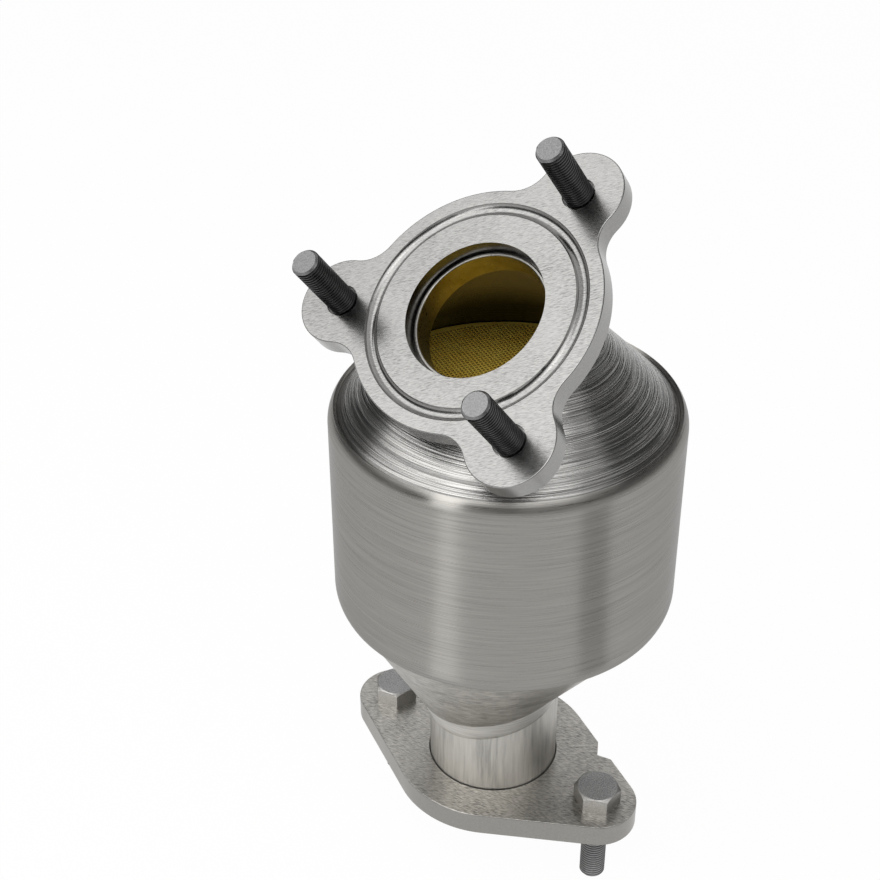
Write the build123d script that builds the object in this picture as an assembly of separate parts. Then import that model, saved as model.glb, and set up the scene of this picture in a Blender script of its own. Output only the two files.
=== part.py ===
from build123d import *
import math
import os

# Catalytic converter: a round can with an angled three-stud inlet flange and a two-bolt outlet flange.
# Millimetres, Z up. The origin is the centre of the outlet flange's underside, on the outlet pipe's axis.
# The inlet leans towards +X.

# Can
can_radius = 63.5
can_wall = 1.5
can_axis_x = -1.9
can_axis_y = 2.0
can_bottom_bend_z = 98.9
can_top_bend_z = 168.1
bottom_bend_radius = 10.0
bottom_bend_angle = 26.0
top_bend_radius = 9.0
top_bend_angle = 40.0

# Cones
cone_wall = 1.5
lap_clearance = 0.1
collar_length = 6.0

# Brick, its mat and the rings at the ends of the mat
brick_length = 72.0
brick_top_z = 174.0
mat_thickness = 5.3
mat_clearance = 0.1
seal_length = 4.0

# Outlet flange and pipe
outlet_pipe_radius = 25.4
outlet_pipe_wall = 2.0
outlet_pipe_clearance = 0.5
outlet_plate = 9.3
outlet_disc_radius = 39.8
outlet_lobe_radius = 15.5
outlet_bolt_circle = 50.0
outlet_bolt_angle = 93.6
outlet_edge_round = 0.4
outlet_neck_z = 49.0
outlet_neck_radius = 30.6
outlet_neck_slant = 13.4
outlet_neck_slant_direction = -44.7
outlet_flare_height = 11.3
outlet_cone_weld_leg = 1.5
outlet_flange_weld_leg = 1.5
notch_start = 16.2
notch_apex = 22.6
notch_end = 27.0
notch_depth = 3.8

# Inlet flange and neck
inlet_neck_radius = 24.15
inlet_neck_wall = 1.3
inlet_neck_clearance = 0.55
inlet_face_x = 21.6
inlet_face_y = 5.5
inlet_face_z = 221.4
inlet_lean = 38.3
inlet_plate = 8.0
inlet_disc_radius = 44.5
inlet_lobe_radius = 15.7
inlet_stud_circle = 50.7
inlet_stud_angle = 46.9
inlet_stud_count = 3
inlet_lobe_fillet = 12.0
inlet_edge_round = 0.4
inlet_neck_recess = 5.5
inlet_neck_length = 10.0
inlet_neck_end_round = 0.5
inlet_cone_end_depth = 15.0
inlet_cone_end_length = 3.0
inlet_flange_weld_leg = 2.0
inlet_neck_weld_leg = 1.5
groove_radius = 37.4
groove_width = 4.6
groove_depth = 1.6

# Fasteners
thread_radius = 5.0
stud_length = 35.0
stud_chamfer = 0.8
stud_shank_radius = 5.2
stud_shank_out = 0.3
stud_relief_radius = 5.8
stud_relief_depth = 2.5
bolt_length = 40.0
bolt_shank_radius = 4.5
bolt_shank_out = 0.3
bolt_hole_clearance = 0.5
bolt_tip_chamfer = 1.0
hex_across_flats = 16.0
hex_height = 7.0
hex_chamfer_angle = 30.0
outlet_bolt_turns = (0.0, 43.0)  # turn of each hex head from its first position

can_axis = Location((can_axis_x, can_axis_y, 0))
mat_outer = can_radius - can_wall - mat_clearance
mat_inner = mat_outer - mat_thickness
brick_radius = mat_inner - mat_clearance
mat_bottom_z = can_bottom_bend_z + collar_length + mat_clearance
mat_top_z = can_top_bend_z - collar_length - mat_clearance
inlet_bore = inlet_neck_radius + inlet_neck_clearance
outlet_bore = outlet_pipe_radius + outlet_pipe_clearance
outlet_weld_recess = outlet_bore + outlet_flange_weld_leg


def leaning_plane(origin, lean_angle, direction):
    """Plane whose Z axis leans from upright by an angle, towards a direction measured from +X."""
    lean = math.radians(lean_angle)
    turn = math.radians(direction)
    return Plane(
        origin=origin,
        x_dir=(math.cos(turn) * math.cos(lean), math.sin(turn) * math.cos(lean), -math.sin(lean)),
        z_dir=(math.cos(turn) * math.sin(lean), math.sin(turn) * math.sin(lean), math.cos(lean)),
    )


inlet_plane = leaning_plane((inlet_face_x, inlet_face_y, inlet_face_z), inlet_lean, 0)
outlet_neck_plane = leaning_plane((0, 0, outlet_neck_z), outlet_neck_slant, outlet_neck_slant_direction)
inlet_stud_spots = PolarLocations(inlet_stud_circle, inlet_stud_count, inlet_stud_angle, rotate=False)
outlet_bolt_spots = PolarLocations(outlet_bolt_circle, 2, outlet_bolt_angle, rotate=False)


def ring(inner, outer, bottom, top):
    """Straight ring about the Z axis."""
    return Pos(0, 0, bottom) * extrude(Circle(outer) - Circle(inner), top - bottom)


def spin(outline):
    """Turn an outline drawn in radius and height about the Z axis."""
    return revolve(Plane.XZ * make_face(outline), Axis.Z)


def bend_point(radius, bend, bend_z, side, angle):
    """Radius and height of the point at this angle on a wall's bend, upwards (side 1) or downwards (-1)."""
    turn = math.radians(angle)
    return radius - bend + bend * math.cos(turn), bend_z + side * bend * math.sin(turn)


def bend_arc(radius, bend, bend_z, side, angle):
    """Arc along which a wall of this radius bends inwards."""
    return ThreePointArc(*(bend_point(radius, bend, bend_z, side, a) for a in (0, angle / 2, angle)))


def make_body_shell():
    inner = can_radius - can_wall
    outline = Line((inner, can_bottom_bend_z), (inner, can_top_bend_z))
    outline += Line((can_radius, can_bottom_bend_z), (can_radius, can_top_bend_z))
    for bend_z, side, bend, angle in (
        (can_bottom_bend_z, -1, bottom_bend_radius, bottom_bend_angle),
        (can_top_bend_z, 1, top_bend_radius, top_bend_angle),
    ):
        outline += bend_arc(can_radius, bend, bend_z, side, angle)
        outline += bend_arc(inner, bend - can_wall, bend_z, side, angle)
        outline += Line(
            bend_point(can_radius, bend, bend_z, side, angle),
            bend_point(inner, bend - can_wall, bend_z, side, angle),
        )
    return can_axis * spin(outline)


def bent_collar(radius, bend, bend_z, side, angle):
    """Solid disc with the form of a cone's collar, whose rim bends inwards inside the shell's rim."""
    start_z = bend_z - side * collar_length
    end_radius, end_z = bend_point(radius, bend, bend_z, side, angle)
    outline = Polyline((end_radius, end_z), (0, end_z), (0, start_z), (radius, start_z), (radius, bend_z))
    outline += bend_arc(radius, bend, bend_z, side, angle)
    return can_axis * spin(outline)


def cone_form(inset, bend, bend_z, side, angle, end_plane, end_radius, seam):
    """Solid form of a cone and its collar, set in from the shell's inner face by the given amount.

    The seam is the direction from which both ends of the cone's slanting wall are drawn."""
    radius = can_radius - can_wall - lap_clearance - inset
    bend = bend - can_wall - lap_clearance - inset
    rim_radius, rim_z = bend_point(radius, bend, bend_z, side, angle)
    rim = can_axis * Pos(0, 0, rim_z) * Rot(0, 0, seam) * Circle(rim_radius)
    cone = loft([rim, end_plane * Circle(end_radius - inset)], ruled=True)
    return bent_collar(radius, bend, bend_z, side, angle) + cone


def make_inlet_cone():
    end_plane = inlet_plane.offset(-inlet_cone_end_depth)
    end_bore = inlet_neck_radius + lap_clearance
    end_radius = end_bore + cone_wall
    bend = (top_bend_radius, can_top_bend_z, 1, top_bend_angle)
    end = (end_plane, end_radius, 0)
    outer = cone_form(0, *bend, *end)
    outer += end_plane * Pos(0, 0, inlet_cone_end_length / 2) * Cylinder(end_radius, inlet_cone_end_length)
    inner = cone_form(cone_wall, *bend, *end)
    return outer - inner - end_plane * Cylinder(end_bore, 3 * inlet_cone_end_length)


def make_outlet_cone():
    bend = (bottom_bend_radius, can_bottom_bend_z, -1, bottom_bend_angle)
    end = (outlet_neck_plane, outlet_neck_radius, outlet_neck_slant_direction)
    return cone_form(0, *bend, *end) - cone_form(cone_wall, *bend, *end)


def outlet_pipe_form(radius, end_radius):
    """Solid form of the outlet pipe: straight, then flared to the slanted end of the outlet cone."""
    flare_plane = outlet_neck_plane.offset(-outlet_flare_height)
    pipe = extrude(Circle(radius), 2 * outlet_neck_z)
    pipe = split(pipe, bisect_by=flare_plane, keep=Keep.BOTTOM)
    flare_start = Ellipse(radius / math.cos(math.radians(outlet_neck_slant)), radius)
    # The slanted section of the upright pipe has its centre on the pipe's axis.
    shift = outlet_flare_height * math.tan(math.radians(outlet_neck_slant))
    flare_start = flare_plane * Pos(shift, 0, 0) * flare_start
    return pipe + loft([flare_start, outlet_neck_plane * Circle(end_radius)], ruled=True)


def make_outlet_pipe():
    outer = outlet_pipe_form(outlet_pipe_radius, outlet_neck_radius)
    inner = outlet_pipe_form(outlet_pipe_radius - outlet_pipe_wall, outlet_neck_radius - outlet_pipe_wall)
    return outer - inner


def outlet_outline():
    """Disc and two lobes joined by tangent lines, with a V notch in one long edge."""
    # Angle, at the disc's centre, between a lobe and the point where the tangent line leaves the disc.
    spread = math.acos((outlet_disc_radius - outlet_lobe_radius) / outlet_bolt_circle)
    sine = math.sin(spread)
    cosine = math.cos(spread)
    disc_touch = (outlet_disc_radius * cosine, outlet_disc_radius * sine)
    lobe_touch = (outlet_bolt_circle + outlet_lobe_radius * cosine, outlet_lobe_radius * sine)
    half = Circle(outlet_disc_radius) + Pos(outlet_bolt_circle, 0) * Circle(outlet_lobe_radius)
    for side in (1, -1):
        half += make_face(Polyline(
            (0, 0),
            (disc_touch[0], side * disc_touch[1]),
            (lobe_touch[0], side * lobe_touch[1]),
            (outlet_bolt_circle, 0),
            close=True,
        ))
    notch = make_face(Polyline(
        (notch_start, 0),
        (notch_apex, -notch_depth),
        (notch_end, 0),
        (notch_apex, notch_depth),
        close=True,
    ))
    edge = Pos(*disc_touch) * Rot(0, 0, math.degrees(spread) - 90)
    return Rot(0, 0, outlet_bolt_angle) * (half + Rot(0, 0, 180) * half - edge * notch)


def make_outlet_flange():
    plate = extrude(outlet_outline(), outlet_plate)
    plate = fillet(plate.faces().sort_by(Axis.Z)[-1].outer_wire().edges(), outlet_edge_round)
    plate -= Cylinder(outlet_bore, 3 * outlet_plate)
    plate -= Cylinder(outlet_weld_recess, 2 * outlet_flange_weld_leg)
    for spot in outlet_bolt_spots:
        plate -= spot * Cylinder(thread_radius + bolt_hole_clearance, 3 * outlet_plate)
    return plate


def make_outlet_bolt():
    """Hex bolt whose head stands on the plane Z = 0."""
    corner_radius = hex_across_flats / math.sqrt(3)
    drop = (corner_radius - hex_across_flats / 2) * math.tan(math.radians(hex_chamfer_angle))
    head = extrude(RegularPolygon(corner_radius, 6), hex_height)
    round_top = spin(Polyline(
        (0, 0),
        (corner_radius, 0),
        (corner_radius, hex_height - drop),
        (hex_across_flats / 2, hex_height),
        (0, hex_height),
        close=True,
    ))
    thread_start = -outlet_plate - bolt_shank_out
    shank = spin(Polyline(
        (0, 0),
        (bolt_shank_radius, 0),
        (bolt_shank_radius, thread_start),
        (thread_radius, thread_start),
        (thread_radius, bolt_tip_chamfer - bolt_length),
        (thread_radius - bolt_tip_chamfer, -bolt_length),
        (0, -bolt_length),
        close=True,
    ))
    return (head & round_top) + shank


def inlet_outline():
    """Disc with one lobe at each stud, the corners between them rounded."""
    outline = Circle(inlet_disc_radius)
    for spot in inlet_stud_spots:
        outline += spot * Circle(inlet_lobe_radius)
    return fillet(outline.vertices(), inlet_lobe_fillet)


def make_inlet_flange():
    """Plate whose face lies on the plane Z = 0 and whose back is below it."""
    plate = extrude(inlet_outline(), -inlet_plate)
    plate = fillet(plate.faces().sort_by(Axis.Z)[-1].outer_wire().edges(), inlet_edge_round)
    plate -= Cylinder(inlet_bore, 3 * inlet_plate)
    # The groove's section is an arc that reaches the face at half the groove's width on each side.
    half = groove_width / 2
    curve = (half**2 + groove_depth**2) / (2 * groove_depth)
    section = Pos(groove_radius, curve - groove_depth) * Circle(curve)
    plate -= revolve(Plane.XZ * section, Axis.Z)
    for spot in inlet_stud_spots:
        plate -= spot * Cylinder(stud_shank_radius, 3 * inlet_plate)
        plate -= spot * Cylinder(stud_relief_radius, 2 * stud_relief_depth)
    return inlet_plane * plate


def make_inlet_stud():
    """Stud pressed into the inlet flange, its lower end flush with the flange's back."""
    top = stud_length - inlet_plate
    return spin(Polyline(
        (0, -inlet_plate),
        (stud_shank_radius - stud_chamfer, -inlet_plate),
        (stud_shank_radius, stud_chamfer - inlet_plate),
        (stud_shank_radius, stud_shank_out),
        (thread_radius, stud_shank_out),
        (thread_radius, top - stud_chamfer),
        (thread_radius - stud_chamfer, top),
        (0, top),
        close=True,
    ))


def make_inlet_neck():
    inner = inlet_neck_radius - inlet_neck_wall
    top = -inlet_neck_recess
    neck = ring(inner, inlet_neck_radius, top - inlet_neck_length, top)
    return inlet_plane * fillet(neck.faces().sort_by(Axis.Z)[-1].edges(), inlet_neck_end_round)


def bead(radius, z, out, along):
    """Weld bead of triangular section, whose legs run outwards and along Z from a corner."""
    return spin(Polyline((radius, z), (radius + out, z), (radius, z + along), close=True))


def make_weld_inlet_flange():
    leg = inlet_flange_weld_leg
    return inlet_plane * bead(inlet_neck_radius, -inlet_plate, leg, -leg)


def make_weld_inlet_neck():
    corner = inlet_cone_end_length - inlet_cone_end_depth
    return inlet_plane * bead(inlet_neck_radius, corner, inlet_neck_weld_leg, inlet_neck_weld_leg)


def make_weld_outlet_cone(outlet_cone):
    """Bead on the ledge inside the joint of the outlet pipe's flare and the outlet cone."""
    ledge = outlet_neck_radius - cone_wall
    over = cone_wall / 2
    leg = outlet_cone_weld_leg + over
    return outlet_neck_plane * bead(ledge + over, 0, -leg, leg) - outlet_cone


def make_weld_outlet_flange():
    """Bead in the recess round the pipe's end, on the flange's underside."""
    out = outlet_weld_recess - outlet_pipe_radius
    return bead(outlet_pipe_radius, outlet_flange_weld_leg, out, -outlet_flange_weld_leg)


def make_substrate():
    return can_axis * Pos(0, 0, brick_top_z - brick_length) * extrude(Circle(brick_radius), brick_length)


def make_mat_ring(bottom, top):
    return can_axis * ring(mat_inner, mat_outer, bottom, top)


parts = {}
parts["inlet_flange"] = make_inlet_flange()
for i, spot in enumerate(inlet_stud_spots, start=1):
    parts[f"inlet_stud_{i}"] = inlet_plane * spot * make_inlet_stud()
parts["inlet_neck"] = make_inlet_neck()
parts["weld_inlet_flange"] = make_weld_inlet_flange()
parts["weld_inlet_neck"] = make_weld_inlet_neck()
parts["inlet_cone"] = make_inlet_cone()
parts["body_shell"] = make_body_shell()
parts["outlet_cone"] = make_outlet_cone()
parts["weld_outlet_cone"] = make_weld_outlet_cone(parts["outlet_cone"])
parts["outlet_pipe"] = make_outlet_pipe()
parts["weld_outlet_flange"] = make_weld_outlet_flange()
parts["outlet_flange"] = make_outlet_flange()
for i, (spot, turn) in enumerate(zip(outlet_bolt_spots, outlet_bolt_turns), start=1):
    parts[f"outlet_bolt_{i}"] = Pos(0, 0, outlet_plate) * spot * Rot(0, 0, turn) * make_outlet_bolt()
parts["substrate"] = make_substrate()
parts["support_mat"] = make_mat_ring(mat_bottom_z + seal_length, mat_top_z - seal_length)
parts["mat_seal_outlet"] = make_mat_ring(mat_bottom_z, mat_bottom_z + seal_length)
parts["mat_seal_inlet"] = make_mat_ring(mat_top_z - seal_length, mat_top_z)

os.makedirs("parts", exist_ok=True)
for name, shape in parts.items():
    export_step(shape, f"parts/{name}.step")
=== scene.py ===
import math

import bmesh
import bpy
from mathutils import Matrix, Vector
from mathutils.geometry import tessellate_polygon


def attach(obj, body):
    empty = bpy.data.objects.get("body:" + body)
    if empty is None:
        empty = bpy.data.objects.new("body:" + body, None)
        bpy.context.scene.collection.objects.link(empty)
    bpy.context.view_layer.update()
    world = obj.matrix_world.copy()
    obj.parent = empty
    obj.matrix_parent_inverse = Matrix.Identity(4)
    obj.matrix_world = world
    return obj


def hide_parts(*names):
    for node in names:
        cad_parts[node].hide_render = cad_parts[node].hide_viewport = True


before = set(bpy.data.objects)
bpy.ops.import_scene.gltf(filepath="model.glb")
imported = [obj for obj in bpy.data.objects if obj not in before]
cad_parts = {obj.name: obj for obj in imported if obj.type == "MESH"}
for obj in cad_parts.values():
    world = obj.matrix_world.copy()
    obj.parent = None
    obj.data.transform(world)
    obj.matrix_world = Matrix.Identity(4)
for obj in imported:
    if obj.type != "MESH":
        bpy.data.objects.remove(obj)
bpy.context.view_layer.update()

# Sizes in metres, in the frame of the solids

can_centre = (-0.0019, 0.0020)
can_middle_z = 0.1300
inlet_cone_middle = Vector((0.0020, 0.0030, 0.1860))
# Inside the inlet cone, painted shade: nearly black below the first height, fading out by the second.
painted_shade_fade_start_z = 0.1910
painted_shade_fade_end_z = 0.2100
inlet_face = Vector((0.0216, 0.0055, 0.2214))
inlet_lean = math.radians(38.3)
inlet_plate = 0.0080

thread_radius = 0.0050
thread_pitch = 0.00125
thread_depth = 0.00075
thread_end_radius = thread_radius - 0.3 * thread_depth
thread_segments = 40
# Steps of the thread's shape: share of the pitch, and how far the thread is sunk there
thread_shape = ((0.0, 0.0), (0.22, 0.0), (0.55, thread_depth), (0.67, thread_depth))
smooth_below = math.radians(25)

stud_length = 0.0350
stud_chamfer = 0.00085
stud_shank_radius = 0.0052
stud_shank_out = 0.0003
stud_circle = 0.0507
stud_angle = 46.9
stud_count = 3

bolt_length = 0.0400
bolt_chamfer = 0.0010
bolt_shank_radius = 0.0045
bolt_shank_out = 0.0003
bolt_circle = 0.0500
bolt_angle = 93.6
bolt_turns = (0.0, 43.0)

outlet_plate = 0.0093
outlet_neck_middle = Vector((0, 0, 0.0490))
outlet_neck_slant = math.radians(13.4)
outlet_neck_direction = math.radians(-44.7)
outlet_flare_height = 0.0113
flare_fade_height = 0.0030

hex_across_flats = 0.0160
hex_height = 0.0070
hex_chamfer = math.radians(30)
hex_crown_radius = 0.96 * hex_across_flats / 2
hex_samples = 72

brick_radius = 0.0565
brick_length = 0.0720
brick_top_z = 0.1740
brick_skin = 0.0012
cell_pitch = 0.00147
cell_wall = 0.00054
cell_turn = math.radians(65.9)
cell_steps = ((0, 0), (1, 0), (1, 1), (0, 1))
brick_samples = 180

# Camera and stage, with azimuths and elevations in degrees

camera_place = Vector((0.374593, 0.297263, 0.472505))
camera_right = Vector((-0.654334, 0.756201, -0.002617))
camera_down = Vector((0.417664, 0.358511, -0.834882))
camera_forward = Vector((-0.630400, -0.547384, -0.550423))
camera_lens = 65.7
camera_sensor = 36.0

floor_z = -0.0310
floor_size = 12.0
floor_white_share = 0.97
world_strength = 0.45
seen_world_strength = 1.0

horizon_radius = 3.0
horizon_top = 1.7
horizon_gap_start = -5.0
horizon_gap_end = 13.0
horizon_segments = 90
side_card_spans = ((-130.0, -62.0), (115.0, 170.0))
side_card_top = 3.6
horizon_card_value = 0.06
side_card_value = 0.21
floor_card_azimuth = 92.0
floor_card_half = 9.0
floor_card_inner = 0.18
floor_card_outer = 0.55
floor_card_lift = 0.001
floor_card_value = 0.62

# Softboxes: azimuth, elevation, distance, width, height, radiance
softboxes = {
    "key_softbox": (-25, 52, 1.1, 1.6, 0.9, 1.6),
    "side_softbox": (65, 45, 1.2, 0.7, 0.6, 1.5),
    "fill_softbox": (38, 52, 1.2, 0.5, 0.5, 1.6),
    "strip_softbox": (4, 14, 1.4, 0.4, 1.0, 1.9),
}
floor_strip_azimuth = 6.0
floor_strip_distance = 0.36
floor_strip_length = 0.44
floor_strip_width = 0.06
floor_strip_lift = 0.002
floor_strip_radiance = 0.50


# Places

def direction(azimuth, elevation=0.0):
    """Unit vector at an azimuth from +X and an elevation, both in degrees."""
    around = math.radians(azimuth)
    up = math.radians(elevation)
    return Vector((math.cos(around) * math.cos(up), math.sin(around) * math.cos(up), math.sin(up)))


def inlet_place():
    """Matrix of the inlet flange's face: Z out of the face, X down the slope."""
    return Matrix.Translation(inlet_face) @ Matrix.Rotation(inlet_lean, 4, "Y")


# Node helpers

def feed(tree, socket, value):
    """Link an output to a socket, or set any other value on it."""
    if isinstance(value, bpy.types.NodeSocket):
        tree.links.new(value, socket)
    else:
        socket.default_value = value


def add_node(tree, kind, **inputs):
    """Add a node and feed the named inputs."""
    node = tree.nodes.new(kind)
    for name, value in inputs.items():
        feed(tree, node.inputs[name.replace("_", " ")], value)
    return node


def calculate(tree, operation, *values):
    """Output of a Math node on these values or outputs."""
    node = tree.nodes.new("ShaderNodeMath")
    node.operation = operation
    for socket, value in zip(node.inputs, values):
        feed(tree, socket, value)
    return node.outputs[0]


def mixture(tree, first, share, second):
    """The first value by its share and the second one by the rest."""
    rest = calculate(tree, "MULTIPLY", second, 1 - share)
    return calculate(tree, "MULTIPLY_ADD", first, share, rest)


def place(tree):
    """Position in the frame of the solids, which is also an added piece's own frame."""
    return tree.nodes.new("ShaderNodeTexCoord").outputs["Object"]


def surface_normal(tree):
    """Normal of the surface in that same frame."""
    return tree.nodes.new("ShaderNodeTexCoord").outputs["Normal"]


def stretched(tree, scale):
    """Position scaled, so that noise on it is drawn out along the small scales."""
    return add_node(tree, "ShaderNodeMapping", Vector=place(tree), Scale=scale).outputs[0]


def vector_step(tree, operation, first, second):
    """Output of a Vector Math node on two vectors, or on a vector and a number for SCALE."""
    node = tree.nodes.new("ShaderNodeVectorMath")
    node.operation = operation
    feed(tree, node.inputs[0], first)
    feed(tree, node.inputs["Scale"] if operation == "SCALE" else node.inputs[1], second)
    return node.outputs["Value" if operation == "DOT_PRODUCT" else "Vector"]


def drawn_out(tree, line, along, across):
    """Position scaled by one amount along a line and by another across it."""
    position = place(tree)
    share = calculate(tree, "MULTIPLY", vector_step(tree, "DOT_PRODUCT", position, line), along - across)
    even = vector_step(tree, "SCALE", position, across)
    return vector_step(tree, "ADD", even, vector_step(tree, "SCALE", line, share))


def facing_share(tree, line, low, high):
    """0 to 1 as the surface turns towards a line."""
    return step_up(tree, vector_step(tree, "DOT_PRODUCT", surface_normal(tree), line), low, high)


def inside_share(tree, middle):
    """1 on the faces of a hollow piece that look towards its middle, 0 on its outside."""
    outwards = vector_step(tree, "SUBTRACT", place(tree), middle)
    away = vector_step(tree, "DOT_PRODUCT", surface_normal(tree), outwards)
    return calculate(tree, "LESS_THAN", away, 0.0)


def step_up(tree, value, low, high):
    """0 below the low value, 1 above the high one."""
    node = add_node(tree, "ShaderNodeMapRange", Value=value)
    node.inputs["From Min"].default_value = low
    node.inputs["From Max"].default_value = high
    return node.outputs[0]


def blend(tree, share, first, second):
    """Colour from the first to the second as the share goes from 0 to 1."""
    node = tree.nodes.new("ShaderNodeMix")
    node.data_type = "RGBA"
    feed(tree, node.inputs["Factor"], share)
    for socket, colour in ((node.inputs[6], first), (node.inputs[7], second)):
        feed(tree, socket, colour if isinstance(colour, bpy.types.NodeSocket) else (*colour, 1.0))
    return node.outputs[2]


def noise(tree, vector, scale=1.0, detail=3.0, roughness=0.55, distortion=0.0):
    """Noise at a position, mostly between 0.3 and 0.7."""
    node = add_node(
        tree,
        "ShaderNodeTexNoise",
        Vector=vector,
        Scale=scale,
        Detail=detail,
        Roughness=roughness,
        Distortion=distortion,
    )
    return node.outputs[0]


def ramp(tree, factor, *stops):
    """Colour along stops of (position, colour)."""
    node = add_node(tree, "ShaderNodeValToRGB", Fac=factor)
    elements = node.color_ramp.elements
    while len(elements) < len(stops):
        elements.new(0.5)
    for element, (position, colour) in zip(elements, stops):
        element.position = position
        element.color = (*colour, 1.0)
    return node.outputs[0]


def spread(tree, factor, low, high):
    """Turn noise into a value from low to high."""
    node = add_node(tree, "ShaderNodeMapRange", Value=factor)
    for name, value in (("From Min", 0.3), ("From Max", 0.7), ("To Min", low), ("To Max", high)):
        node.inputs[name].default_value = value
    return node.outputs[0]


def bump(tree, height, distance, normal=None):
    """Normal raised by a height, on top of another bump's normal where one is given."""
    node = add_node(tree, "ShaderNodeBump", Height=height, Distance=distance, Strength=1.0)
    if normal is not None:
        tree.links.new(normal, node.inputs["Normal"])
    return node.outputs[0]


def steel(value, warmth=1.0):
    """Grey that leans towards yellow with its warmth."""
    return (value, value * (1 - 0.03 * warmth), value * (1 - 0.09 * warmth))


def new_material(name, metallic, roughness, anisotropy=0.0):
    """Material with one Principled shader, returned with its tree and shader."""
    material = bpy.data.materials.new(name)
    material.use_nodes = True
    tree = material.node_tree
    tree.nodes.clear()
    shader = add_node(tree, "ShaderNodeBsdfPrincipled", Metallic=metallic, Roughness=roughness)
    shader.inputs["Anisotropic"].default_value = anisotropy
    add_node(tree, "ShaderNodeOutputMaterial", Surface=shader.outputs[0])
    return material, tree, shader


def brush_round(tree, shader):
    """Lay an anisotropic shader's brush lines round the Z axis, a quarter turn from its tangent."""
    tangent = tree.nodes.new("ShaderNodeTangent")
    tangent.direction_type = "RADIAL"
    tangent.axis = "Z"
    tree.links.new(tangent.outputs[0], shader.inputs["Tangent"])
    shader.inputs["Anisotropic Rotation"].default_value = 0.25


# Materials

def brushed_can():
    """Steel with fine brush lines round the can."""
    material, tree, shader = new_material("can_steel", 1.0, 0.29, 0.75)
    brush_round(tree, shader)
    fine = noise(tree, stretched(tree, (22, 22, 2600)), detail=3)
    streaks = noise(tree, stretched(tree, (45, 45, 1400)), detail=3, roughness=0.7)
    mixed = mixture(tree, streaks, 0.4, fine)
    colour = ramp(tree, mixed, (0.38, steel(0.255)), (0.5, steel(0.30)), (0.62, steel(0.335)))
    tree.links.new(colour, shader.inputs["Base Color"])
    tree.links.new(spread(tree, streaks, 0.26, 0.32), shader.inputs["Roughness"])
    # The can shines less where it turns away from the eye.
    shader.inputs["Specular Tint"].default_value = (0.7, 0.7, 0.7, 1.0)
    first = bump(tree, fine, 0.00002)
    tree.links.new(bump(tree, streaks, 0.00003, normal=first), shader.inputs["Normal"])
    return material


def brushed_cone():
    """Steel with coarse brush lines round the inlet cone, brown inside, where painted shade darkens it
    towards the brick.
    """
    material, tree, shader = new_material("inlet_cone_steel", 1.0, 0.23, 0.5)
    brush_round(tree, shader)
    coarse = noise(tree, stretched(tree, (12, 12, 3000)), detail=2, roughness=0.6)
    fine = noise(tree, stretched(tree, (60, 60, 4200)), detail=2)
    colour = ramp(tree, coarse, (0.40, steel(0.19, 0.5)), (0.5, steel(0.28, 0.5)), (0.60, steel(0.39, 0.5)))
    height = vector_step(tree, "DOT_PRODUCT", place(tree), Vector((0, 0, 1)))
    # Painted shade: the inside wall goes nearly black towards the brick, where the cone's hollow lies in
    # shade.
    out_of_painted_shade = step_up(tree, height, painted_shade_fade_start_z, painted_shade_fade_end_z)
    shaded_brown = blend(tree, out_of_painted_shade, (0.008, 0.007, 0.006), (0.47, 0.43, 0.48))
    inside = inside_share(tree, inlet_cone_middle)
    tree.links.new(blend(tree, inside, colour, shaded_brown), shader.inputs["Base Color"])
    tree.links.new(spread(tree, fine, 0.20, 0.27), shader.inputs["Roughness"])
    first = bump(tree, coarse, 0.00028)
    tree.links.new(bump(tree, fine, 0.00003, normal=first), shader.inputs["Normal"])
    return material


def speckled_steel(name, low, high, roughness, warmth=1.0, depth=0.00006):
    """Dull steel with a fine speckle."""
    material, tree, shader = new_material(name, 1.0, roughness)
    speckle = noise(tree, place(tree), scale=1900, detail=2, roughness=0.6)
    cloud = noise(tree, place(tree), scale=60, detail=3)
    mixed = mixture(tree, cloud, 0.3, speckle)
    colour = ramp(tree, mixed, (0.38, steel(low, warmth)), (0.62, steel(high, warmth)))
    tree.links.new(colour, shader.inputs["Base Color"])
    tree.links.new(spread(tree, cloud, roughness - 0.04, roughness + 0.06), shader.inputs["Roughness"])
    tree.links.new(bump(tree, speckle, depth), shader.inputs["Normal"])
    return material


def rolled_cone():
    """Dull, slightly warm steel of the outlet cone, with short marks round it and bright specks."""
    material, tree, shader = new_material("outlet_cone_steel", 1.0, 0.38, 0.3)
    brush_round(tree, shader)
    marks = noise(tree, stretched(tree, (220, 220, 1500)), detail=3, roughness=0.65)
    cloud = noise(tree, stretched(tree, (25, 25, 90)), detail=3)
    specks = step_up(tree, noise(tree, place(tree), scale=1700, detail=1), 0.66, 0.72)
    mixed = mixture(tree, cloud, 0.25, marks)
    colour = ramp(tree, mixed, (0.40, steel(0.25, 1.3)), (0.60, steel(0.50, 1.2)))
    tree.links.new(blend(tree, specks, colour, steel(0.5, 1.5)), shader.inputs["Base Color"])
    tree.links.new(spread(tree, cloud, 0.34, 0.44), shader.inputs["Roughness"])
    tree.links.new(bump(tree, marks, 0.00010), shader.inputs["Normal"])
    return material


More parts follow.
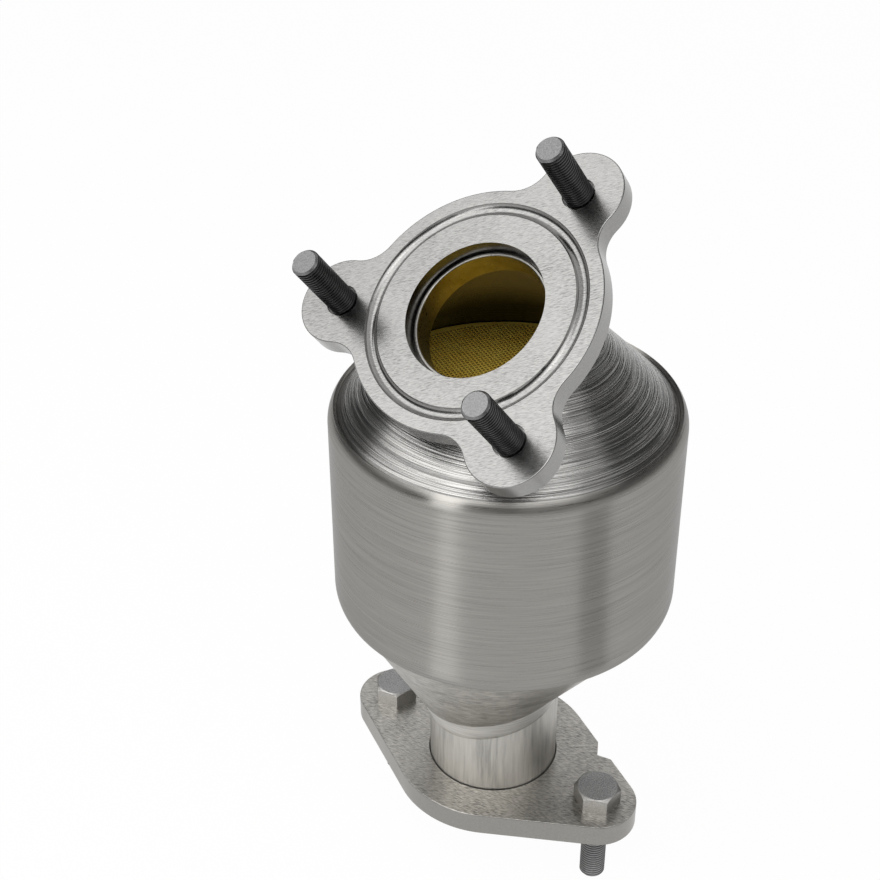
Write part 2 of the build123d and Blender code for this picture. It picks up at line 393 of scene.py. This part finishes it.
def ground_steel(name, low, high, roughness, face, line, fineness, depth, warmth):
    """Plate with short grinding marks along a line on the face given by its normal, plain on its edges."""
    material, tree, shader = new_material(name, 1.0, roughness)
    marks = noise(tree, drawn_out(tree, line, fineness / 7, fineness), detail=3, roughness=0.6)
    grain = noise(tree, place(tree), scale=1500, detail=2)
    cloud = noise(tree, place(tree), scale=45, detail=2, roughness=0.5)
    mixed = mixture(tree, cloud, 0.25, marks)
    deep = steel(0.5 * low, warmth)
    marked = ramp(tree, mixed, (0.34, deep), (0.42, steel(low, warmth)), (0.60, steel(high, warmth)))
    plain = ramp(tree, grain, (0.36, steel(0.285, warmth)), (0.64, steel(0.315, warmth)))
    on_face = facing_share(tree, face, 0.6, 0.9)
    tree.links.new(blend(tree, on_face, plain, marked), shader.inputs["Base Color"])
    tree.links.new(spread(tree, cloud, roughness - 0.03, roughness + 0.05), shader.inputs["Roughness"])
    height = calculate(tree, "MULTIPLY", marks, on_face)
    tree.links.new(bump(tree, height, depth), shader.inputs["Normal"])
    return material


def height_over_neck(tree):
    """Height over the slanted plane in which the outlet pipe's flare meets the outlet cone."""
    turn = Matrix.Rotation(outlet_neck_direction, 3, "Z") @ Matrix.Rotation(outlet_neck_slant, 3, "Y")
    from_neck = vector_step(tree, "SUBTRACT", place(tree), outlet_neck_middle)
    return vector_step(tree, "DOT_PRODUCT", from_neck, turn @ Vector((0, 0, 1)))


def drawn_pipe():
    """Pipe steel with drawing lines along it, and rings round its flare, whose lighter colour is painted
    light.
    """
    material, tree, shader = new_material("pipe_steel", 1.0, 0.30)
    up = Vector((0, 0, 1))
    lines = noise(tree, drawn_out(tree, up, 45, 750), detail=4, roughness=0.65)
    broad = noise(tree, drawn_out(tree, up, 25, 140), detail=3)
    mixed = mixture(tree, broad, 0.5, lines)
    colour = ramp(tree, mixed, (0.38, steel(0.36)), (0.5, steel(0.50)), (0.62, steel(0.58)))
    rings = noise(tree, stretched(tree, (60, 60, 1500)), detail=3)
    # Painted light: the flare's lighter steel stands in for the bright reflection it is meant to catch.
    ringed_flare_with_painted_light = ramp(tree, rings, (0.38, steel(0.60, 0.5)), (0.62, steel(0.76, 0.5)))
    flare_start = -outlet_flare_height
    on_flare = step_up(tree, height_over_neck(tree), flare_start, flare_start + flare_fade_height)
    tree.links.new(blend(tree, on_flare, colour, ringed_flare_with_painted_light), shader.inputs["Base Color"])
    tree.links.new(spread(tree, broad, 0.42, 0.54), shader.inputs["Roughness"])
    tree.links.new(bump(tree, lines, 0.000015), shader.inputs["Normal"])
    return material


def neck_with_painted_reflection():
    """Neck pipe, plain outside and at its end, and coloured straw inside as a painted reflection of the
    yellow brick.
    """
    material, tree, shader = new_material("neck_steel", 1.0, 0.30)
    cloud = noise(tree, place(tree), scale=90, detail=4)
    fine = noise(tree, place(tree), scale=1400, detail=2)
    # Painted reflection: the straw colour inside stands in for the brick's yellow mirrored in the steel.
    straw_painted_reflection = ramp(tree, cloud, (0.36, (0.54, 0.44, 0.16)), (0.64, (0.72, 0.61, 0.27)))
    bright = ramp(tree, fine, (0.36, steel(0.20)), (0.64, steel(0.28)))
    inside = inside_share(tree, inlet_place() @ Vector((0, 0, -inlet_plate / 2)))
    walls = blend(tree, inside, steel(0.28), straw_painted_reflection)
    out = inlet_place().to_3x3() @ Vector((0, 0, 1))
    at_end = facing_share(tree, out, 0.4, 0.6)
    tree.links.new(blend(tree, at_end, walls, bright), shader.inputs["Base Color"])
    tree.links.new(spread(tree, fine, 0.26, 0.36), shader.inputs["Roughness"])
    tree.links.new(bump(tree, fine, 0.00002), shader.inputs["Normal"])
    return material


def thread_steel(name, low, high, roughness):
    """Steel of a screw thread, a little worn."""
    material, tree, shader = new_material(name, 1.0, roughness)
    wear = noise(tree, place(tree), scale=500, detail=3, roughness=0.6)
    colour = ramp(tree, wear, (0.36, steel(low, 0)), (0.64, steel(high, 0)))
    tree.links.new(colour, shader.inputs["Base Color"])
    tree.links.new(spread(tree, wear, roughness - 0.03, roughness + 0.05), shader.inputs["Roughness"])
    tree.links.new(bump(tree, wear, 0.00001), shader.inputs["Normal"])
    return material


def brick_ceramic(name, low, high):
    """Coated ceramic, matt and grainy."""
    material, tree, shader = new_material(name, 0.0, 0.75)
    grain = noise(tree, place(tree), scale=2600, detail=3, roughness=0.7)
    cloud = noise(tree, place(tree), scale=120, detail=3)
    mixed = mixture(tree, cloud, 0.5, grain)
    tree.links.new(ramp(tree, mixed, (0.38, low), (0.62, high)), shader.inputs["Base Color"])
    tree.links.new(spread(tree, grain, 0.68, 0.85), shader.inputs["Roughness"])
    tree.links.new(bump(tree, grain, 0.00004), shader.inputs["Normal"])
    return material


def felt(name, low, high):
    """Matted fibres."""
    material, tree, shader = new_material(name, 0.0, 0.9)
    fibres = noise(tree, stretched(tree, (300, 300, 1500)), detail=5, roughness=0.7, distortion=1.5)
    tree.links.new(ramp(tree, fibres, (0.35, low), (0.65, high)), shader.inputs["Base Color"])
    tree.links.new(spread(tree, fibres, 0.85, 0.95), shader.inputs["Roughness"])
    tree.links.new(bump(tree, fibres, 0.0002), shader.inputs["Normal"])
    return material


def dress(node, material):
    """Give a solid its material."""
    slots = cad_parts[node].data.materials
    slots.clear()
    slots.append(material)


# Added pieces

def add_piece(name, mesh, place_matrix, node):
    """Put a mesh in place of one solid."""
    mesh.transform(place_matrix)
    piece = bpy.data.objects.new(name, mesh)
    bpy.context.scene.collection.objects.link(piece)
    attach(piece, "root")
    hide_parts(node)


def add_ring(bm, radius, z, count):
    """Corners of a level ring about the Z axis."""
    ring = []
    for i in range(count):
        around = 2 * math.pi * i / count
        ring.append(bm.verts.new((radius * math.cos(around), radius * math.sin(around), z)))
    return ring


def join_rings(bm, lower, upper, material):
    """Band of faces between two rings with as many corners."""
    for i in range(len(lower)):
        j = (i + 1) % len(lower)
        bm.faces.new((lower[i], lower[j], upper[j], upper[i])).material_index = material


def thread_rows(bm, start, end):
    """Corners of a thread between two heights: one row for each turn and step of its shape."""
    turns = math.ceil((end - start) / thread_pitch) + 1
    rows = []
    for turn in range(-1, turns):
        for share, sunk in thread_shape:
            row = []
            for i in range(thread_segments):
                z = start + thread_pitch * (turn + share + i / thread_segments)
                around = 2 * math.pi * i / thread_segments
                radius = thread_radius - sunk
                if z <= start or z >= end:
                    z = min(max(z, start), end)
                    radius = thread_end_radius
                row.append(bm.verts.new((radius * math.cos(around), radius * math.sin(around), z)))
            rows.append(row)
    return rows


def add_thread(bm, low, high, low_chamfer, high_chamfer, crest, root):
    """Screw thread about the Z axis between two heights less a chamfer at each end.

    Crest and root are the numbers of their materials; the root's is a darker copy, painted shade in the
    thread's groove. Returns the heights where the thread ends.
    """
    start = low + low_chamfer
    end = high - high_chamfer
    rows = thread_rows(bm, start, end)
    # Each row ends one pitch above its start, so the last quad joins the row one turn up.
    step = len(thread_shape)
    for k in range(len(rows) - 1):
        material = crest if k % step == 0 else root
        for i in range(thread_segments - 1):
            quad = (rows[k][i], rows[k][i + 1], rows[k + 1][i + 1], rows[k + 1][i])
            bm.faces.new(quad).material_index = material
        if k + step + 1 < len(rows):
            quad = (rows[k][-1], rows[k + step][0], rows[k + step + 1][0], rows[k + 1][-1])
            bm.faces.new(quad).material_index = material
    return start, end


def close_end(bm, z, chamfer, out, material):
    """Chamfer and flat disc that close a thread at this height; out is 1 upwards and -1 downwards."""
    edge = add_ring(bm, thread_end_radius, z, thread_segments)
    disc = add_ring(bm, thread_radius - chamfer, z + out * chamfer, thread_segments)
    join_rings(bm, edge, disc, material)
    bm.faces.new(disc).material_index = material


def finish_mesh(bm, name, materials, smooth_angle=smooth_below):
    """Merge, smooth and turn a bmesh into a mesh with these materials."""
    bmesh.ops.remove_doubles(bm, verts=bm.verts, dist=1e-7)
    bmesh.ops.recalc_face_normals(bm, faces=bm.faces)
    for edge in bm.edges:
        faces = edge.link_faces
        edge.smooth = len(faces) == 2 and faces[0].normal.angle(faces[1].normal, 0.0) < smooth_angle
    for face in bm.faces:
        face.smooth = True
    mesh = bpy.data.meshes.new(name)
    bm.to_mesh(mesh)
    bm.free()
    for material in materials:
        mesh.materials.append(material)
    return mesh


def add_shank(bm, radius, low, high, low_chamfer, material):
    """Plain closed cylinder about the Z axis, chamfered at its lower end."""
    foot = add_ring(bm, radius - low_chamfer, low, thread_segments)
    edge = add_ring(bm, radius, low + low_chamfer, thread_segments)
    top = add_ring(bm, radius, high, thread_segments)
    join_rings(bm, foot, edge, material)
    join_rings(bm, edge, top, material)
    bm.faces.new(foot).material_index = material
    bm.faces.new(top).material_index = material


def make_studs(thread, tip, root):
    """Studs with a plain shank in the plate and a thread all the way above it."""
    on_thread, on_tip, on_root_shade = range(3)
    thread_low = stud_shank_out - thread_pitch
    thread_high = stud_length - inlet_plate
    for k in range(stud_count):
        bm = bmesh.new()
        add_shank(bm, stud_shank_radius, -inlet_plate, stud_shank_out, stud_chamfer, on_thread)
        start, end = add_thread(bm, thread_low, thread_high, stud_chamfer, stud_chamfer, on_thread, on_root_shade)
        close_end(bm, start, stud_chamfer, -1, on_thread)
        close_end(bm, end, stud_chamfer, 1, on_tip)
        mesh = finish_mesh(bm, f"threaded_stud_{k + 1}", (thread, tip, root))
        spot = stud_circle * direction(stud_angle + 360 / stud_count * k)
        matrix = inlet_place() @ Matrix.Translation(spot)
        add_piece(f"threaded_stud_{k + 1}", mesh, matrix, f"inlet_stud_{k + 1}")


def add_hex_head(bm, side, top):
    """Hex head that stands on the plane Z = 0, its top edge turned down all round."""
    foot = []
    shoulder = []
    for i in range(hex_samples):
        around = 2 * math.pi * i / hex_samples
        from_flat = around % (math.pi / 3) - math.pi / 6
        radius = hex_across_flats / 2 / math.cos(from_flat)
        across = Vector((math.cos(around), math.sin(around), 0))
        height = hex_height - (radius - hex_crown_radius) * math.tan(hex_chamfer)
        foot.append(bm.verts.new(across * radius))
        shoulder.append(bm.verts.new(across * radius + Vector((0, 0, height))))
    crown = add_ring(bm, hex_crown_radius, hex_height, hex_samples)
    join_rings(bm, foot, shoulder, side)
    join_rings(bm, shoulder, crown, side)
    bm.faces.new(crown).material_index = top
    bm.faces.new(foot).material_index = side


def make_bolts(side, top, thread, root):
    """Hex bolts with a plain shank in the plate and a thread below it."""
    on_side, on_top, on_thread, on_root_shade = range(4)
    thread_high = -outlet_plate - bolt_shank_out
    upper_chamfer = thread_radius - bolt_shank_radius
    for k, turn in enumerate(bolt_turns):
        bm = bmesh.new()
        start, end = add_thread(
            bm, -bolt_length, thread_high, bolt_chamfer, upper_chamfer, on_thread, on_root_shade)
        close_end(bm, start, bolt_chamfer, -1, on_thread)
        close_end(bm, end, upper_chamfer, 1, on_thread)
        add_shank(bm, bolt_shank_radius, thread_high, 0, 0, on_thread)
        add_hex_head(bm, on_side, on_top)
        mesh = finish_mesh(bm, f"hex_bolt_{k + 1}", (side, top, thread, root))
        spot = bolt_circle * direction(bolt_angle + 360 / len(bolt_turns) * k)
        spot.z = outlet_plate
        matrix = Matrix.Translation(spot) @ Matrix.Rotation(math.radians(turn), 4, "Z")
        add_piece(f"hex_bolt_{k + 1}", mesh, matrix, f"outlet_bolt_{k + 1}")


def brick_cells():
    """Columns and rows of the channels that lie wholly inside the brick's skin."""
    reach = brick_radius - brick_skin - cell_pitch * math.sqrt(0.5)
    count = math.ceil(brick_radius / cell_pitch)
    span = range(-count, count + 1)
    return [(i, j) for i in span for j in span if math.hypot(i, j) * cell_pitch < reach]


def outer_loop(cells):
    """Corners of the stepped outline round all the cells, in order."""
    sides = []
    for i, j in cells:
        corners = [(i + a, j + b) for a, b in cell_steps]
        sides += zip(corners, corners[1:] + corners[:1])
    every_side = set(sides)
    following = {a: b for a, b in sides if (b, a) not in every_side}
    first = next(iter(following))
    loop = [first]
    while following[loop[-1]] != first:
        loop.append(following[loop[-1]])
    return loop


def brick_corners(bm, cells):
    """Corners of the cells by column, row and level: 0 at the brick's foot and 1 at its top."""
    corners = {}
    for i, j in cells:
        for a, b in cell_steps:
            for level in (0, 1):
                key = (i + a, j + b, level)
                if key not in corners:
                    x = (i + a - 0.5) * cell_pitch
                    y = (j + b - 0.5) * cell_pitch
                    corners[key] = bm.verts.new((x, y, (level - 1) * brick_length))
    return corners


def add_channel(bm, i, j, corners, on_shaded_channel, on_face):
    """One open channel, and the face between its two mouths and the corners of its cell."""
    half_open = (cell_pitch - cell_wall) / 2
    mouths = []
    for level in (0, 1):
        rim = [corners[(i + a, j + b, level)] for a, b in cell_steps]
        mouth = []
        for a, b in cell_steps:
            x = i * cell_pitch + (2 * a - 1) * half_open
            y = j * cell_pitch + (2 * b - 1) * half_open
            mouth.append(bm.verts.new((x, y, (level - 1) * brick_length)))
        join_rings(bm, rim, mouth, on_face)
        mouths.append(mouth)
    join_rings(bm, mouths[0], mouths[1], on_shaded_channel)


def make_brick(channel, face):
    """Brick with open square channels from end to end."""
    on_shaded_channel, on_face = range(2)
    bm = bmesh.new()
    cells = brick_cells()
    corners = brick_corners(bm, cells)
    for i, j in cells:
        add_channel(bm, i, j, corners, on_shaded_channel, on_face)
    add_brick_skin(bm, outer_loop(cells), corners, on_face)
    mesh = finish_mesh(bm, "honeycomb_brick", (channel, face), smooth_angle=0.0)
    centre = Vector((*can_centre, brick_top_z))
    matrix = Matrix.Translation(centre) @ Matrix.Rotation(cell_turn, 4, "Z")
    add_piece("honeycomb_brick", mesh, matrix, "substrate")


def add_brick_skin(bm, loop, corners, material):
    """Round skin outside the stepped outline of the cells, and its two end faces."""
    circles = []
    for level in (0, 1):
        circle = add_ring(bm, brick_radius, (level - 1) * brick_length, brick_samples)
        steps = [corners[(i, j, level)] for i, j in loop]
        points = circle + steps
        for triangle in tessellate_polygon([[v.co for v in circle], [v.co for v in steps]]):
            bm.faces.new([points[i] for i in triangle]).material_index = material
        circles.append(circle)
    join_rings(bm, circles[0], circles[1], material)


# Camera, light and floor

def make_camera():
    """Camera at the place, and with the turn and lens, that the photo was taken with."""
    data = bpy.data.cameras.new("camera")
    data.lens = camera_lens
    data.sensor_width = camera_sensor
    data.clip_start = 0.01
    camera = bpy.data.objects.new("camera", data)
    turn = Matrix((camera_right, -camera_down, -camera_forward)).transposed()
    camera.matrix_world = Matrix.Translation(camera_place) @ turn.to_4x4()
    bpy.context.scene.collection.objects.link(camera)
    bpy.context.scene.camera = camera


def facing(azimuth, elevation, distance):
    """Matrix of something that far from the can's middle, whose -Z looks at it."""
    middle = Vector((*can_centre, can_middle_z))
    away = direction(azimuth, elevation)
    return Matrix.Translation(middle + away * distance) @ away.to_track_quat("Z", "Y").to_matrix().to_4x4()


def add_lamp(name, matrix, width, height, radiance):
    """Rectangular lamp that shines along its -Z with an even brightness."""
    light = bpy.data.lights.new(name, "AREA")
    light.shape = "RECTANGLE"
    light.size = width
    light.size_y = height
    light.energy = radiance * math.pi * width * height
    lamp = bpy.data.objects.new(name, light)
    lamp.matrix_world = matrix
    bpy.context.scene.collection.objects.link(lamp)
    return lamp


def add_card(name, corners, faces, material):
    """Card that only reflections see, as a studio sets beside bright metal."""
    mesh = bpy.data.meshes.new(name)
    mesh.from_pydata(corners, [], faces)
    mesh.materials.append(material)
    card = bpy.data.objects.new(name, mesh)
    card.visible_camera = False
    card.visible_diffuse = False
    card.visible_shadow = False
    bpy.context.scene.collection.objects.link(card)


def make_horizon_card(material):
    """Dark wall round the stage, with a gap that lets one bright upright band in."""
    corners = []
    for i in range(horizon_segments + 1):
        azimuth = horizon_gap_end + (360 - horizon_gap_end + horizon_gap_start) * i / horizon_segments
        for z in (floor_z, horizon_top):
            corners.append(direction(azimuth) * horizon_radius + Vector((0, 0, z)))
    faces = [(2 * i, 2 * i + 2, 2 * i + 3, 2 * i + 1) for i in range(horizon_segments)]
    add_card("horizon_card", corners, faces, material)


def make_side_cards(material):
    """Two upright dim cards, left and right of the lamps, that rise above the horizon card."""
    for start, end in side_card_spans:
        corners = []
        for azimuth in (start, end):
            for z in (floor_z, side_card_top):
                corners.append(direction(azimuth) * horizon_radius + Vector((0, 0, z)))
        add_card("side_card", corners, [(0, 1, 3, 2)], material)


def make_floor_card(material):
    """Grey wedge on the floor beside the can."""
    corners = []
    for azimuth in (floor_card_azimuth - floor_card_half, floor_card_azimuth + floor_card_half):
        for radius in (floor_card_inner, floor_card_outer):
            corners.append(direction(azimuth) * radius + Vector((0, 0, floor_z + floor_card_lift)))
    add_card("floor_card", corners, [(0, 1, 3, 2)], material)


def add_floor_strip():
    """Low lamp that lies on the floor beyond the picture and faces up."""
    turn = Matrix.Rotation(math.radians(floor_strip_azimuth), 4, "Z") @ Matrix.Rotation(math.pi, 4, "X")
    spot = direction(floor_strip_azimuth) * floor_strip_distance
    spot.z = floor_z + floor_strip_lift
    matrix = Matrix.Translation(spot) @ turn
    lamp = add_lamp("floor_strip", matrix, floor_strip_length, floor_strip_width, floor_strip_radiance)
    lamp.visible_camera = False


def seen(tree):
    """1 for rays from the camera, and from metal or glass that shows what is around it."""
    path = tree.nodes.new("ShaderNodeLightPath")
    either = calculate(tree, "MAXIMUM", path.outputs["Is Camera Ray"], path.outputs["Is Glossy Ray"])
    return calculate(tree, "MAXIMUM", either, path.outputs["Is Transmission Ray"])


def make_floor():
    """Level floor that takes shadows and looks white to whatever sees it."""
    material = bpy.data.materials.new("floor")
    material.use_nodes = True
    tree = material.node_tree
    tree.nodes.clear()
    matt = add_node(tree, "ShaderNodeBsdfDiffuse", Color=(0.9, 0.9, 0.9, 1))
    white = add_node(tree, "ShaderNodeEmission", Color=(1, 1, 1, 1), Strength=1.0)
    share = calculate(tree, "MULTIPLY", seen(tree), floor_white_share)
    mix = add_node(tree, "ShaderNodeMixShader", Fac=share)
    tree.links.new(matt.outputs[0], mix.inputs[1])
    tree.links.new(white.outputs[0], mix.inputs[2])
    add_node(tree, "ShaderNodeOutputMaterial", Surface=mix.outputs[0])
    mesh = bpy.data.meshes.new("floor")
    s = floor_size / 2
    corners = [(-s, -s, floor_z), (s, -s, floor_z), (s, s, floor_z), (-s, s, floor_z)]
    mesh.from_pydata(corners, [], [(0, 1, 2, 3)])
    mesh.materials.append(material)
    floor = bpy.data.objects.new("floor", mesh)
    bpy.context.scene.collection.objects.link(floor)


def make_world():
    """Even light from all round, seen as white."""
    world = bpy.data.worlds.new("studio")
    world.use_nodes = True
    tree = world.node_tree
    tree.nodes.clear()
    light = add_node(tree, "ShaderNodeBackground", Color=(1, 1, 1, 1), Strength=world_strength)
    white = add_node(tree, "ShaderNodeBackground", Color=(1, 1, 1, 1), Strength=seen_world_strength)
    mix = add_node(tree, "ShaderNodeMixShader", Fac=seen(tree))
    tree.links.new(light.outputs[0], mix.inputs[1])
    tree.links.new(white.outputs[0], mix.inputs[2])
    add_node(tree, "ShaderNodeOutputWorld", Surface=mix.outputs[0])
    bpy.context.scene.world = world


def card_material(name, value):
    """Plain grey of one value."""
    material, _, shader = new_material(name, 0.0, 0.9)
    shader.inputs["Base Color"].default_value = (value, value, value, 1)
    return material


def make_stage():
    """Floor, surroundings, lamps and cards of the studio."""
    make_floor()
    make_world()
    for name, (azimuth, elevation, distance, width, height, radiance) in softboxes.items():
        add_lamp(name, facing(azimuth, elevation, distance), width, height, radiance)
    add_floor_strip()
    make_horizon_card(card_material("dark_card", horizon_card_value))
    make_side_cards(card_material("dim_card", side_card_value))
    make_floor_card(card_material("grey_card", floor_card_value))


# The part

def dress_solids():
    """Materials of the solids that stay as they are."""
    weld = speckled_steel("weld_steel", 0.14, 0.24, 0.45)
    inlet_turn = inlet_place().to_3x3()
    inlet_out = inlet_turn @ Vector((0, 0, 1))
    inlet_marks = inlet_turn @ Vector((-0.56, 0.83, 0)).normalized()
    up = Vector((0, 0, 1))
    outlet_marks = Vector((-0.30, 0.95, 0)).normalized()
    dress("inlet_flange", ground_steel(
        "inlet_flange_steel", 0.21, 0.29, 0.22, inlet_out, inlet_marks, 3600, 0.000016, 0.4))
    dress("outlet_flange", ground_steel(
        "outlet_flange_steel", 0.30, 0.66, 0.32, up, outlet_marks, 2800, 0.00012, 1.0))
    dress("inlet_cone", brushed_cone())
    dress("body_shell", brushed_can())
    dress("outlet_cone", rolled_cone())
    dress("outlet_pipe", drawn_pipe())
    dress("inlet_neck", neck_with_painted_reflection())
    for node in ("weld_inlet_flange", "weld_inlet_neck", "weld_outlet_cone", "weld_outlet_flange"):
        dress(node, weld)
    dress("support_mat", felt("mat_fibre", (0.55, 0.52, 0.45), (0.78, 0.75, 0.68)))
    seal = felt("seal_fibre", (0.38, 0.36, 0.33), (0.60, 0.58, 0.54))
    dress("mat_seal_inlet", seal)
    dress("mat_seal_outlet", seal)


def make_pieces():
    """Pieces that take the place of the studs, the bolts and the brick."""
    tip = speckled_steel("stud_tip_steel", 0.17, 0.24, 0.40, 0.0)
    side = speckled_steel("bolt_side_steel", 0.36, 0.52, 0.40, 0.6, 0.00008)
    top = speckled_steel("bolt_top_steel", 0.24, 0.52, 0.40, 0.0, 0.00014)
    # Painted shade: the studs' thread roots are a much darker copy of their thread steel, for the shade in
    # the grooves.
    stud_root_shade = thread_steel("stud_root_painted_shade", 0.014, 0.020, 0.4)
    make_studs(thread_steel("stud_thread_steel", 0.09, 0.12, 0.30), tip, stud_root_shade)
    # Painted shade: the bolts' thread roots are a darker copy of their thread steel, for the shade in the
    # grooves.
    bolt_root_shade = thread_steel("bolt_root_painted_shade", 0.13, 0.17, 0.4)
    make_bolts(side, top, thread_steel("bolt_thread_steel", 0.38, 0.44, 0.30), bolt_root_shade)
    # Painted shade: the channel walls are a darker copy of the brick's coating, for the shade down the
    # channels.
    channel = brick_ceramic("brick_channel_painted_shade", (0.32, 0.17, 0.008), (0.44, 0.26, 0.015))
    face = brick_ceramic("brick_face", (0.98, 0.64, 0.08), (1.0, 0.78, 0.14))
    make_brick(channel, face)


bpy.context.scene.view_settings.view_transform = "Standard"
dress_solids()
make_pieces()
make_camera()
make_stage()
